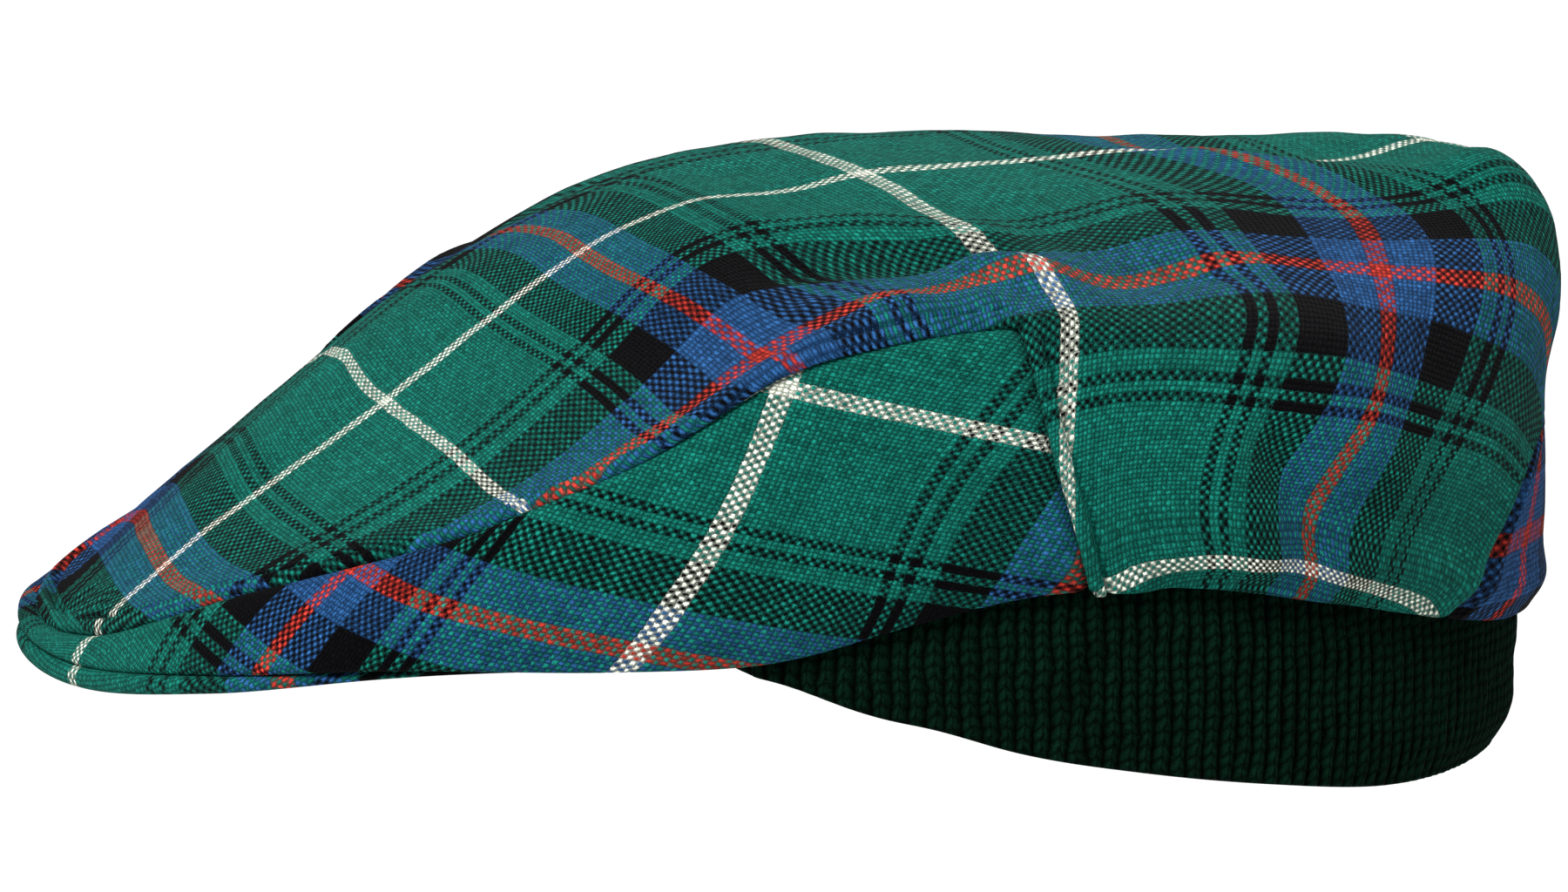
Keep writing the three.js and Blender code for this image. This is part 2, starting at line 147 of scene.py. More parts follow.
# Tartan, counted in threads from the middle of a white line to the middle of the next red line
SETT = (("white", 2), ("green", 30), ("black", 2), ("green", 2), ("black", 2), ("green", 4),
        ("black", 11), ("blue", 9), ("red", 2))
HALF_SETT = sum(count for _, count in SETT)
YARN = {
    "white": (206, 212, 196),
    "green": (13, 94, 82),
    "black": (4, 4, 6),
    "blue": (32, 71, 116),
    "red": (158, 44, 36),
}
KNIT_GREEN = (4, 25, 16)


def smooth_step(low, high, value):
    t = np.clip((value - low) / (high - low), 0, 1)
    return t * t * (3 - 2 * t)


def bell(distance, width):
    return np.exp(-(distance / width) ** 2)


def ridge(distance, height, middle, width):
    return height * bell(distance - middle, width)


def unit(v):
    return v / np.maximum(np.linalg.norm(v, axis=-1, keepdims=True), 1e-12)


def from_tip(azimuth):
    return (azimuth + 180) % 360 - 180


def low_seam(azimuth):
    """From 0 to 1 where the peak's twist draws the top down over the band at the right of the tip."""
    tip = from_tip(azimuth)
    return bell(tip - FAR_SEAM_AZIMUTH, FAR_SEAM_REACH) * smooth_step(*FAR_SEAM_START, -tip)


def seam_level(azimuth):
    return SEAM + FAR_SEAM_DROP * low_seam(azimuth)


def hermite(start, end, start_slope, end_slope, t):
    t2, t3 = t * t, t * t * t
    return (start * (2 * t3 - 3 * t2 + 1) + start_slope * (t3 - 2 * t2 + t)
            + end * (3 * t2 - 2 * t3) + end_slope * (t3 - t2))


def section(name, azimuth):
    """A column's value in any direction round the head, on a smooth curve through the rows."""
    rows = SECTIONS[:, 0]
    values = SECTIONS[:, SECTION_COLUMNS.index(name)]
    slopes = np.zeros(len(rows))
    slopes[1:-1] = (values[2:] - values[:-2]) / (rows[2:] - rows[:-2])
    turned = np.abs(from_tip(azimuth))
    k = np.clip(np.searchsorted(rows, turned, side="left") - 1, 0, len(rows) - 2)
    span = rows[k + 1] - rows[k]
    t = (turned - rows[k]) / span
    return hermite(values[k], values[k + 1], slopes[k] * span, slopes[k + 1] * span, t)


def between(start, end, start_way, end_way, t):
    chord = np.linalg.norm(end - start, axis=-1, keepdims=True)
    return hermite(start, end, start_way * chord, end_way * chord, t[..., None])


def corner(name, azimuth):
    return np.stack([section(name + "_r", azimuth), section(name + "_z", azimuth)], axis=-1)


def profile(azimuth, level):
    """Radius and height of the cap's section, from level 0 at the middle of the top to the hem."""
    crest, seam = corner("crest", azimuth), corner("seam", azimuth)
    wall, hem = corner("wall", azimuth), corner("hem", azimuth)
    pole = np.zeros_like(crest) + (0, CROWN_HEIGHT)
    flat = np.zeros_like(crest) + (1, 0)
    down, drop = unit(seam - crest), unit(wall - seam)
    roll = unit(down + drop)
    rolled = np.maximum(section("roll", azimuth), low_seam(azimuth))[..., None]
    over_crest = unit(unit(crest - pole) + down)
    along_wall = unit(hem - seam)
    share = crest[..., 0] / seam[..., 0]
    top = between(pole, crest, flat, over_crest, level / share)
    slope = between(crest, seam, over_crest, down + (roll - down) * rolled,
                    (level - share) / (1 - share))
    upper = between(seam, wall, drop + (roll - drop) * rolled, along_wall, (level - SEAM) * 2)
    lower = between(wall, hem, along_wall, unit(hem - wall), (level - WALL) * 2)
    at = level[..., None]
    below = np.where(at < WALL, upper, lower)
    return np.where(at < share[..., None], top, np.where(at <= SEAM, slope, below))


def slanted(azimuth, level):
    """The upright seam runs back on its way down, and the cloth beside it follows."""
    tip = from_tip(azimuth)
    near = bell(np.abs(tip) - SEAM_AZIMUTH, SLANT_REACH)
    return azimuth + np.sign(tip) * SEAM_SLANT * near * np.maximum(0, level - SEAM)


def round_head(radius, azimuth, height):
    angle = np.radians(azimuth)
    return np.stack([radius * np.sin(angle), -radius * np.cos(angle), height + 0 * angle], axis=-1)


def even_skin(azimuth, level):
    """The cap's shape before it leans, the same on both sides."""
    around = slanted(azimuth, level)
    at = profile(around, level)
    return round_head(at[..., 0], around, at[..., 1])


def plain_skin(azimuth, level):
    point = even_skin(azimuth, level)
    around = slanted(azimuth, level)
    lean = CROWN_LEAN * (1 - smooth_step(*LEAN_LEVELS, level))
    near_seam = np.where(level < SEAM, np.maximum(0, 2 * level - 1), HEM - level)
    near_tip = bell(from_tip(around), TWIST_REACH) * near_seam
    point[..., 2] += point[..., 0] * (FRONT_TWIST * near_tip - lean)
    return point


def outward(surface, azimuth, level):
    step, turn = 0.02, 0.5
    at = np.maximum(level, step)
    along = surface(azimuth, np.minimum(at + step, HEM)) - surface(azimuth, np.maximum(level - step, step))
    around = surface(azimuth + turn, at) - surface(azimuth - turn, at)
    return -unit(np.cross(around, along))


def fold_height(point):
    height = np.zeros(point.shape[:-1])
    for x0, y0, z0, x1, y1, z1, width, rise in np.concatenate([FOLDS, SMALL_FOLDS, RIGHT_FOLDS]):
        start, run = np.array((x0, y0, z0)), np.array((x1 - x0, y1 - y0, z1 - z0))
        share = np.clip((point - start) @ run / (run @ run), 0, 1)
        far = np.linalg.norm(point - start - share[..., None] * run, axis=-1)
        height += rise * bell(far, width)
    return height


def softness(point, bumps):
    """Gentle unevenness of soft cloth, the sum of bumps of a few sizes."""
    total = 0
    for height, size, seed in bumps:
        flat = point.reshape(-1, 3) / size
        drift = Vector((seed, 2 * seed, -seed))
        heights = [noise.noise(Vector(p) + drift) for p in flat]
        total = total + height * np.array(heights).reshape(point.shape[:-1])
    return total


def dart_azimuth(level):
    point, hem = DART_LEVELS
    share = np.clip((level - point) / (hem - point), 0, 1)
    return DART_POINT + (DART_HEM - DART_POINT) * share ** DART_CURVE


def arc(azimuth, radius):
    return np.radians(azimuth) * radius


def from_seam(azimuth, point):
    """Distance of a point from the line of the top seam, square to the line."""
    turn = 0.5
    along = unit(plain_skin(azimuth + turn, seam_level(azimuth + turn))
                 - plain_skin(azimuth - turn, seam_level(azimuth - turn)))
    off = point - plain_skin(azimuth, seam_level(azimuth))
    return np.linalg.norm(off - np.sum(off * along, axis=-1, keepdims=True) * along, axis=-1)


def from_hem(azimuth, level, point):
    return np.linalg.norm(point - plain_skin(azimuth, np.full_like(level, HEM)), axis=-1)


def crown_relief(azimuth, level, point):
    """How far the sewn cloth of the top stands off the smooth form, in millimetres."""
    tip = np.abs(from_tip(azimuth))
    to_seam = from_seam(azimuth, point)
    front = (1 - smooth_step(*FRONT_END, tip)) * (level <= seam_level(azimuth))
    puff = SIDE_PUFF[0] + SIDE_PUFF[1] * smooth_step(*SIDE_PUFF_FROM, tip)
    relief = front * (ridge(to_seam, *SEAM_EDGE) + ridge(to_seam, *SEAM_STITCHES)
                      + puff * ridge(to_seam, *SEAM_PUFF))
    radius = section("wall_r", azimuth)
    behind = arc(tip - SEAM_AZIMUTH, radius)
    strip = smooth_step(*STRIP_LEVELS, level) * (behind > -0.01)
    relief += strip * (1 - smooth_step(*STRIP_EDGE, behind) + ridge(behind, *STRIP_STITCHES))
    aside = arc(tip - dart_azimuth(level), radius) * DART_SLANT
    sewn = smooth_step(*DART_START, level)
    relief += sewn * (ridge(np.abs(aside), *DART_PUFF) + ridge(aside, *DART_GROOVE))
    to_hem = from_hem(azimuth, level, point)
    wing = smooth_step(*WING_START, tip) * (level > SEAM)
    relief += wing * (ridge(to_hem, *WING_PUFF) + ridge(to_hem, *WING_CURL))
    return relief


def crown_skin(azimuth, level):
    point = plain_skin(azimuth, level)
    height = fold_height(point) + crown_relief(azimuth, level, point) + softness(point, TOP_SOFTNESS)
    return point + outward(plain_skin, azimuth, level) * height[..., None]


def band_skin(azimuth, level):
    point = plain_skin(azimuth, level)
    tip = np.abs(from_tip(azimuth))
    to_seam = from_seam(azimuth, point)
    to_upright = arc(SEAM_AZIMUTH - tip, section("wall_r", azimuth))
    to_hem = from_hem(azimuth, level, point)
    height = ridge(to_seam, *BAND_SEAM) - BAND_SINK * (1 - smooth_step(*BAND_SINK_EDGE, to_upright))
    side = smooth_step(*BAND_SIDE, tip)
    height += side * (ridge(to_hem, *BAND_PUFF) + ridge(to_hem, *BAND_CURL))
    height += side * softness(point, BAND_SOFTNESS) + fold_height(point)
    return point + outward(plain_skin, azimuth, level) * height[..., None]


def steps(start, end, count):
    return np.linspace(start, end, count + 1)


def rows_over(first, *others):
    """Levels of mesh rows over spans that follow on: each span's start, end and count."""
    return np.concatenate([steps(*first)] + [steps(*span)[1:] for span in others])


def mesh_grid(columns, rows):
    """Azimuths and levels of a patch, where a row is a level and a column an azimuth."""
    return np.meshgrid(columns, rows, indexing="ij")


def turned_edge(edge, inside, radius, tuck):
    """Rows of points that carry on past an edge, round a fold and back along the inside.
    The edge is the last column of points and inside is the column before it."""
    along = unit(edge["point"] - inside)
    inward = -edge["outward"]
    rows, lengths = [], []
    for angle in steps(0, math.pi, TURN_STEPS)[1:]:
        rows.append(edge["point"] + radius * (math.sin(angle) * along + (1 - math.cos(angle)) * inward))
        lengths.append(radius * angle)
    for back in steps(0, tuck, TUCK_STEPS)[1:]:
        rows.append(edge["point"] + 2 * radius * inward - back * along)
        lengths.append(radius * math.pi + back)
    return np.stack(rows, axis=1), np.array(lengths)


class ClothMesh:
    """A mesh that is put together from grids, each moved on to its patch of cloth."""

    def __init__(self):
        self.bm = bmesh.new()
        self.uv = self.bm.loops.layers.uv.new("threads")

    def patch(self, points, threads):
        columns, rows = points.shape[0] - 1, points.shape[1] - 1
        made = bmesh.ops.create_grid(self.bm, x_segments=columns, y_segments=rows, size=1)["verts"]
        places = {}
        for vert in made:
            i = round((vert.co.x + 1) / 2 * columns)
            j = round((vert.co.y + 1) / 2 * rows)
            places[vert] = (i, j)
            vert.co = points[i, j] * METRES
        for face in {face for vert in made for face in vert.link_faces}:
            for loop in face.loops:
                loop[self.uv].uv = threads[places[loop.vert]]

    def close(self, name, up_first=True):
        bmesh.ops.remove_doubles(self.bm, verts=self.bm.verts, dist=1e-6)
        bmesh.ops.dissolve_degenerate(self.bm, edges=self.bm.edges, dist=1e-8)
        bmesh.ops.recalc_face_normals(self.bm, faces=self.bm.faces)
        if up_first:
            highest = max(self.bm.faces, key=lambda face: face.calc_center_median().z)
            if highest.normal.z < 0:
                bmesh.ops.reverse_faces(self.bm, faces=self.bm.faces)
        for face in self.bm.faces:
            face.smooth = True
        mesh = bpy.data.meshes.new(name)
        self.bm.to_mesh(mesh)
        self.bm.free()
        piece = bpy.data.objects.new(name, mesh)
        bpy.context.scene.collection.objects.link(piece)
        return piece


def thicken(piece, thickness):
    wall = piece.modifiers.new("cloth thickness", "SOLIDIFY")
    wall.thickness = thickness * METRES
    wall.offset = -1
    wall.use_even_offset = False
    return piece


MARK_REACH, MARK_GIVE, STRAIGHT_UNIT = 18.0, 2.5, 100.0  # smoothness and give of the fit through marks


class Grain:
    """Thread counts over a surface, a smooth fit through chalk marks on the cloth.
    A mark is an azimuth, a level and a count in half setts."""

    def __init__(self, marks):
        marks = np.array(marks, float)
        self.at = even_skin(marks[:, 0], marks[:, 1])
        count = len(marks)
        ones = self.straight(self.at)
        system = np.zeros((count + 4, count + 4))
        system[:count, :count] = self.hump(self.at) + np.eye(count) * MARK_GIVE
        system[:count, count:] = ones
        system[count:, :count] = ones.T
        values = np.concatenate([marks[:, 2], np.zeros(4)])
        self.weights = np.linalg.lstsq(system, values, rcond=None)[0]

    def hump(self, points):
        far = np.linalg.norm(points[..., None, :] - self.at, axis=-1)
        return -np.sqrt(far ** 2 + MARK_REACH ** 2)

    def straight(self, points):
        return np.concatenate([np.ones(points.shape[:-1] + (1,)), points / STRAIGHT_UNIT], axis=-1)

    def count(self, points):
        return self.hump(points) @ self.weights[:-4] + self.straight(points) @ self.weights[-4:]


def both_sides(marks, across):
    """Marks of one side and the same marks on the other, where a count across changes its sign."""
    sign = -1 if across else 1
    return list(marks) + [(-azimuth, level, sign * count) for azimuth, level, count in marks]


# Chalk marks of the top: where its white and red lines lie, and some of the steps between them.
TOP_ACROSS = both_sides([
    (82, 0.739, 1), (115, 0.773, 1), (131.5, 1.031, 1), (144, 1.24, 1),
    (68.8, 1.281, 1.5), (78.5, 1.291, 1.5), (94.5, 1.341, 1.5), (114, 1.454, 1.5), (126, 1.57, 1.5),
    (65.2, 1.936, 2), (72.8, 1.923, 2), (82.2, 1.859, 2), (87, 1.827, 2), (92, 1.85, 2), (101.5, 1.909, 2),
    (113, 1.955, 2), (121.5, 1.977, 2), (75, 2, 2.06), (87, 2, 2.13), (100, 2, 2.08), (113, 2, 2.04),
], True) + [
    (0.4, 1, 0), (-2, 0.911, 0), (-1.8, 0.847, 0), (0.4, 0.773, 0), (2, 0.695, 0), (2.2, 0.586, 0),
    (0, 0.458, 0), (2, 0.4, 0), (3, 0.325, 0), (7, 0.296, 0), (10, 0.261, 0), (10, 0.178, 0),
    (180, 0.104, 0), (180, 0.503, 0), (172, 0.887, 0), (180, 1.2, 0),
    (10.5, 0.35, 0.5), (19.5, 0.36, 0.5), (25.8, 0.33, 0.5), (37.5, 0.365, 0.5), (49, 0.419, 0.5),
    (59.5, 0.508, 0.5), (63.5, 0.478, 0.5), (75.8, 0.429, 0.5), (97, 0.389, 0.5), (121, 0.384, 0.5),
    (28.5, 0.527, 0.83), (35.5, 0.576, 0.83), (42.8, 0.636, 0.83), (46.2, 0.641, 0.83), (50.5, 0.621, 0.83),
    (56.5, 0.562, 0.83), (61.8, 0.562, 0.83), (73.8, 0.719, 0.9),
    (25, 1, 0.86), (29, 1, 0.94), (31.5, 0.985, 1), (34.2, 0.925, 1), (36, 0.852, 1), (40.2, 0.73, 1),
    (48.8, 0.87, 1), (51.2, 0.872, 1), (58, 0.88, 1), (63, 0.813, 1), (66.5, 0.793, 1), (73.5, 0.798, 1),
    (94.8, 0.65, 1), (105.5, 0.665, 1), (123, 0.852, 1),
    (38, 1, 1.07), (42, 1, 1.1), (46, 1, 1.11), (50, 1, 1.11), (54, 1, 1.11), (58, 1, 1.12),
    (-20, 1.02, -0.9), (-17, 1.3, -0.9), (-20.2, 0.956, -0.78), (-23, 0.75, -0.64), (-43, 0.76, -0.7),
    (-58, 0.5, -0.66), (-42.5, 0.975, -0.72), (-44.2, 0.66, -0.64), (-52, 1, -0.82), (-75, 0.85, -1),
]
TOP_ALONG = both_sides([
    (68, 1.118, 2), (66.6, 1.3, 2), (65.3, 1.45, 2), (64.2, 1.6, 2), (62.5, 1.85, 2), (99.8, 0.734, 2.5),
    (85.6, 1.218, 2.5), (85.3, 1.331, 2.5), (81.5, 1.45, 2.5), (76.6, 1.577, 2.5), (76.8, 1.654, 2.5),
    (82, 1.754, 2.5), (84.2, 1.836, 2.5), (123, 0.852, 3), (109.8, 1.113, 3), (105, 1.309, 3),
    (102.4, 1.395, 3), (98.2, 1.518, 3), (93.4, 1.613, 3), (90.8, 1.704, 3), (94.6, 1.809, 3),
    (97.4, 1.891, 3), (151.8, 0.862, 3.48), (143, 0.99, 3.48), (136.8, 1.09, 3.48), (134, 1.186, 3.48),
    (119.5, 1.386, 3.44), (112, 1.572, 3.5), (108.5, 1.841, 3.5), (160.2, 0.902, 3.94), (158, 1, 3.93),
    (151, 1.2, 3.92), (149, 1.4, 3.92), (140, 1.6, 3.92), (131, 1.85, 3.92),
], False) + [
    (0.8, 1, -1.3), (-24.2, 1, -1), (-12.8, 0.921, -1), (-4, 0.911, -1), (4.5, 0.951, -1), (10.5, 1, -1),
    (-21.8, 0.744, 0), (-7.8, 0.685, 0), (3.8, 0.695, 0), (17, 0.783, 0), (27.5, 0.961, 0),
    (-19.8, 0.512, 1), (-8.5, 0.463, 1), (-0.2, 0.458, 1), (8.5, 0.478, 1), (20.2, 0.517, 1),
    (28, 0.586, 1), (35.8, 0.714, 1), (44.5, 1, 1), (-44.5, 1, 1), (-61.8, 0.473, 2), (-27.8, 0.207, 2),
    (16.5, 0.178, 2), (38.8, 0.281, 2), (53, 0.448, 2), (66.8, 0.793, 2), (68.8, 0.842, 2),
    (-69.5, 0.877, 2), (-143.2, 0.537, 3), (-166, 0.384, 3), (176.5, 0.444, 3), (168.2, 0.488, 3),
    (156.2, 0.576, 3), (149.8, 0.645, 3), (136.5, 0.734, 3), (175.2, 0.892, 4), (164.8, 0.877, 4),
]
# Chalk marks of the side band
BAND_ACROSS = both_sides([
    (21, 1.145, 1), (19.5, 1.582, 1), (17.5, 1.986, 1), (44.2, 1.086, 2), (42, 1.318, 2), (39.8, 1.55, 2),
    (37, 1.764, 2), (34.8, 2, 2), (58, 1.859, 2.83), (60.5, 1.736, 2.83), (63, 1.613, 2.83),
    (63.5, 1.877, 3), (58.2, 2, 3),
], True) + [(0, 1.45, 0), (0, 1.97, 0)]
BAND_ALONG = both_sides([
    (44.2, 1.1, 0), (53, 1.304, 0), (64, 1.404, 0), (21, 1.145, 1), (25.8, 1.568, 1), (30.5, 1.791, 1),
    (35, 1.909, 1), (39.5, 2, 1), (19.5, 1.582, 1.2), (17.5, 1.986, 1.42), (10, 1.2, 1.42), (10, 1.9, 1.6),
], False) + [(0, 1.45, 1.75), (0, 1.97, 1.85)]
# The tail hangs from the back edge of the top, and its lines spread towards the hem.
TAIL_RED = 74.0
TAIL_LEAN = 0.006
TAIL_TOP = (4.0, 64.0, 59.0)  # count at the back edge, its height, and millimetres for each half sett
# Above the dart the two patterns pass into each other: half the width of the change at the dart's
# point, how much wider and further back it is at the shoulder, and the level at which it starts.
BLEND, BLEND_WIDER, BLEND_BACK, BLEND_START = 3, 12, 15, 0.86
# Lines that show thinner where the cloth curls, puffs or slopes: how much, and how far from the line
CURLED_WHITE, PUFFED_RED, SLOPED_LINES = (0.7, 0.08), (0.8, 0.07), (0.45, 0.07)
PUFFED_AZIMUTH, PUFFED_REACH, PUFFED_TO = 54, 13, SEAM + 0.3
SLOPED_AZIMUTHS, SLOPED_LEVELS = (30, 70), (0.2, 0.45)


def tail_threads(azimuth, level):
    at = even_skin(azimuth, level)
    around = arc(from_tip(azimuth - 180), section("wall_r", azimuth))
    across = -around * (1 + TAIL_LEAN * (at[..., 2] - section("hem_z", azimuth))) / TAIL_RED
    count, height, half = TAIL_TOP
    return np.stack([across, count + (height - at[..., 2]) / half], axis=-1)


def thinner(count, line, where):
    """Change of a count beside a line at nought that makes the line thinner where it is asked for."""
    share, width = line
    return share * where * count * bell(count, width)


def top_threads(azimuth, level, tail):
    """Thread counts of the top panel. Below its point the dart parts the wing's from the tail's."""
    at = even_skin(azimuth, level)
    own = np.stack([top_across.count(at), top_along.count(at)], axis=-1)
    tip = np.abs(from_tip(azimuth))
    high = 1 - smooth_step(SEAM, DART_LEVELS[0], level)
    spread = BLEND + BLEND_WIDER * high
    above = smooth_step(-spread, spread, tip - DART_POINT - BLEND_BACK * high)
    above = above * smooth_step(BLEND_START, DART_LEVELS[0], level)
    below = np.full_like(level, 1.0 if tail else 0.0)
    share = np.where(level < DART_LEVELS[0], above, below)[..., None]
    puffed = bell(tip - PUFFED_AZIMUTH, PUFFED_REACH) * (level < PUFFED_TO)
    for count, line, where in ((2, CURLED_WHITE, level > WALL), (1, PUFFED_RED, puffed)):
        own[..., 0] += np.sign(own[..., 0]) * thinner(np.abs(own[..., 0]) - count, line, where)
    slope = (1 - smooth_step(*SLOPED_AZIMUTHS, tip)) * smooth_step(*SLOPED_LEVELS, level)
    own += thinner(own, SLOPED_LINES, slope[..., None])
    return own * (1 - share) + tail_threads(azimuth, level) * share


def edge_threads(threads, lengths, points):
    """Carries the thread counts on past an edge, at the rate at which they reach it."""
    step = np.linalg.norm(points[:, -1] - points[:, -2], axis=-1)[:, None]
    rate = (threads[:, -1] - threads[:, -2]) / np.maximum(step, 1e-6)
    return threads[:, -1][:, None, :] + rate[:, None, :] * lengths[None, :, None]


def with_turned_edge(points, threads, normals, radius, tuck):
    edge = {"point": points[:, -1], "outward": normals}
    rows, lengths = turned_edge(edge, points[:, -2], radius, tuck)
    more = edge_threads(threads, lengths, points)
    return np.concatenate([points, rows], axis=1), np.concatenate([threads, more], axis=1)


top_across, top_along = Grain(TOP_ACROSS), Grain(TOP_ALONG)
band_across, band_along = Grain(BAND_ACROSS), Grain(BAND_ALONG)

# Rows and columns of the cloth's mesh, closer together along the seams and the hem
TOP_ROWS = rows_over((0, 0.9, 44), (0.9, 0.96, 8), (0.96, 1, 20))
WALL_ROWS = rows_over((1, 1.12, 6), (1.12, 1.88, 30), (1.88, 1.985, 12))
BAND_ROWS = rows_over((1.0, 1.15, 10), (1.15, 1.85, 30), (1.85, 1.985, 12))
FRONT_COLUMNS = steps(-SEAM_AZIMUTH, SEAM_AZIMUTH, 130)
BAND_COLUMNS = steps(-SEAM_AZIMUTH - BAND_UNDER, SEAM_AZIMUTH + BAND_UNDER, 190)
WING_COUNT, TAIL_COUNT, WING_CROWDING = 80, 60, 1.35


def wing_columns(level):
    """Azimuths of the left wing at one level, closer together along the upright seam."""
    share = steps(0, 1, WING_COUNT) ** WING_CROWDING
    return SEAM_AZIMUTH + (dart_azimuth(level) - SEAM_AZIMUTH) * share


def right_wing_columns(level):
    return -wing_columns(level)


def tail_columns(level):
    return steps(dart_azimuth(level), 360 - dart_azimuth(level), TAIL_COUNT)


def wall_patch(columns_at):
    azimuth = np.stack([columns_at(level) for level in WALL_ROWS], axis=1)
    level = np.broadcast_to(WALL_ROWS, azimuth.shape).copy()
    return azimuth, level


def make_top_panel():
    cloth = ClothMesh()
    azimuth, level = mesh_grid(FRONT_COLUMNS, TOP_ROWS)
    spread = np.maximum(0, level - FAR_SEAM_LEVEL) / FAR_SEAM_SPAN
    level += spread * (seam_level(azimuth) - SEAM)
    points, threads = crown_skin(azimuth, level), top_threads(azimuth, level, False)
    normals = outward(plain_skin, FRONT_COLUMNS, seam_level(FRONT_COLUMNS) - JUST_ABOVE)
    cloth.patch(*with_turned_edge(points, threads, normals, SEAM_ROLL, SEAM_TUCK))

    back = ((wing_columns, False), (tail_columns, True), (right_wing_columns, False))
    for columns_at, tail in back:
        azimuth, level = mesh_grid(columns_at(SEAM), TOP_ROWS)
        cloth.patch(crown_skin(azimuth, level), top_threads(azimuth, level, tail))

    edge_rows = TURN_STEPS + TUCK_STEPS + 1
    for columns_at, tail in back:
        azimuth, level = wall_patch(columns_at)
        points, threads = crown_skin(azimuth, level), top_threads(azimuth, level, tail)
        normals = outward(plain_skin, azimuth[:, -1], level[:, -1])
        cloth.patch(*with_turned_edge(points, threads, normals, HEM_ROLL, HEM_TUCK))
        if not tail:
            upright, counts = points[::-1].swapaxes(0, 1), threads[::-1].swapaxes(0, 1)
            normals = outward(plain_skin, azimuth[0], level[0])
            edged, counted = with_turned_edge(upright, counts, normals, SEAM_ROLL, UPRIGHT_TUCK)
            cloth.patch(edged[:, -edge_rows:], counted[:, -edge_rows:])
    return thicken(cloth.close("top_panel_cloth"), CLOTH)


def make_side_band():
    cloth = ClothMesh()
    azimuth, level = mesh_grid(BAND_COLUMNS, BAND_ROWS)
    level = HEM - (HEM - level) * (HEM - seam_level(azimuth)) / (HEM - SEAM)
    points = band_skin(azimuth, level)
    at = even_skin(azimuth, level)
    threads = np.stack([band_across.count(at), band_along.count(at)], axis=-1)
    normals = outward(plain_skin, BAND_COLUMNS, np.full_like(BAND_COLUMNS, BAND_ROWS[-1]))
    cloth.patch(*with_turned_edge(points, threads, normals, BAND_ROLL, BAND_TUCK))
    return thicken(cloth.close("side_band_cloth"), CLOTH)


def ring_body(name, points, threads):
    """A closed body through a row of rings, capped at both ends."""
    cloth = ClothMesh()
    around = np.concatenate([points, points[:, :1]], axis=1)
    counts = np.concatenate([threads, threads[:, -1:]], axis=1)
    cloth.patch(around, counts)
    bmesh.ops.remove_doubles(cloth.bm, verts=cloth.bm.verts, dist=1e-6)
    rims = [edge for edge in cloth.bm.edges if edge.is_boundary]
    bmesh.ops.holes_fill(cloth.bm, edges=rims, sides=0)
    return cloth.close(name, up_first=False)


PEAK_REACH = 39.0
PEAK_INNER_RADIUS, PEAK_INNER_HEIGHT, PEAK_BOARD = 97.0, 5.0, 2.4
HORN_WIDTH, HORN_TAPER = 5.0, 2.2
SEAM_GAP, PART_CLOTH = 0.35, 2.0
PEAK_COLUMNS, PEAK_STEPS, LIP_ROW = 160, 14, 20  # its mesh, and the row at the middle of the lip
LIP_TURN = (80, -90)  # degrees that the rounded lip turns through
PEAK_HALF_SETT = (52.0, 57.0)  # millimetres for each half sett, across and along
PEAK_COUNT, PEAK_BEND, PEAK_BEND_AT = 0.22, 0.25, 20  # its count at the lip, and how its lines fall back


def make_peak():
    columns = steps(-PEAK_REACH, PEAK_REACH, PEAK_COLUMNS)
    hem = corner("hem", columns)
    lip = section("lip", columns)
    inward = -outward(plain_skin, columns, np.full_like(columns, HEM)) * PART_CLOTH
    top = hem[:, 1] + np.minimum(0, inward[:, 2]) - SEAM_GAP + section("lip_rise", columns)
    nose = lip / 2
    middle = hem[:, 0] + section("lip_out", columns) - nose
    under = middle - PART_CLOTH - 2 * SEAM_GAP
    taper = (np.abs(columns) / PEAK_REACH) ** HORN_TAPER
    inner = PEAK_INNER_RADIUS + (under - HORN_WIDTH - PEAK_INNER_RADIUS) * taper
    inner_top = PEAK_INNER_HEIGHT + (top - PEAK_INNER_HEIGHT) * taper
    board = PEAK_BOARD + (lip - PEAK_BOARD) * taper
    ring = []
    for share in steps(0, 1, PEAK_STEPS):
        ring.append((inner + (under - inner) * share, inner_top + (top - inner_top) * share))
    for angle in np.radians(steps(*LIP_TURN, PEAK_STEPS)):
        ring.append((middle + nose * math.cos(angle), top - nose + nose * math.sin(angle)))
    for share in steps(1, 0, PEAK_STEPS):
        ring.append((inner + (under - inner) * share,
                     inner_top - board + (top - lip - inner_top + board) * share))
    points = np.stack([round_head(r, columns, z) for r, z in ring], axis=1)
    lengths = np.linalg.norm(np.diff(points, axis=1, prepend=points[:, :1]), axis=-1).cumsum(axis=1)
    from_lip = lengths - lengths[:, LIP_ROW, None]
    bend = PEAK_BEND * (np.abs(columns)[:, None] / PEAK_BEND_AT) ** 2
    across, along = points[..., 0] / PEAK_HALF_SETT[0], from_lip / PEAK_HALF_SETT[1] + bend + PEAK_COUNT
    return ring_body("peak_cover", points, np.stack([across, along], axis=-1))


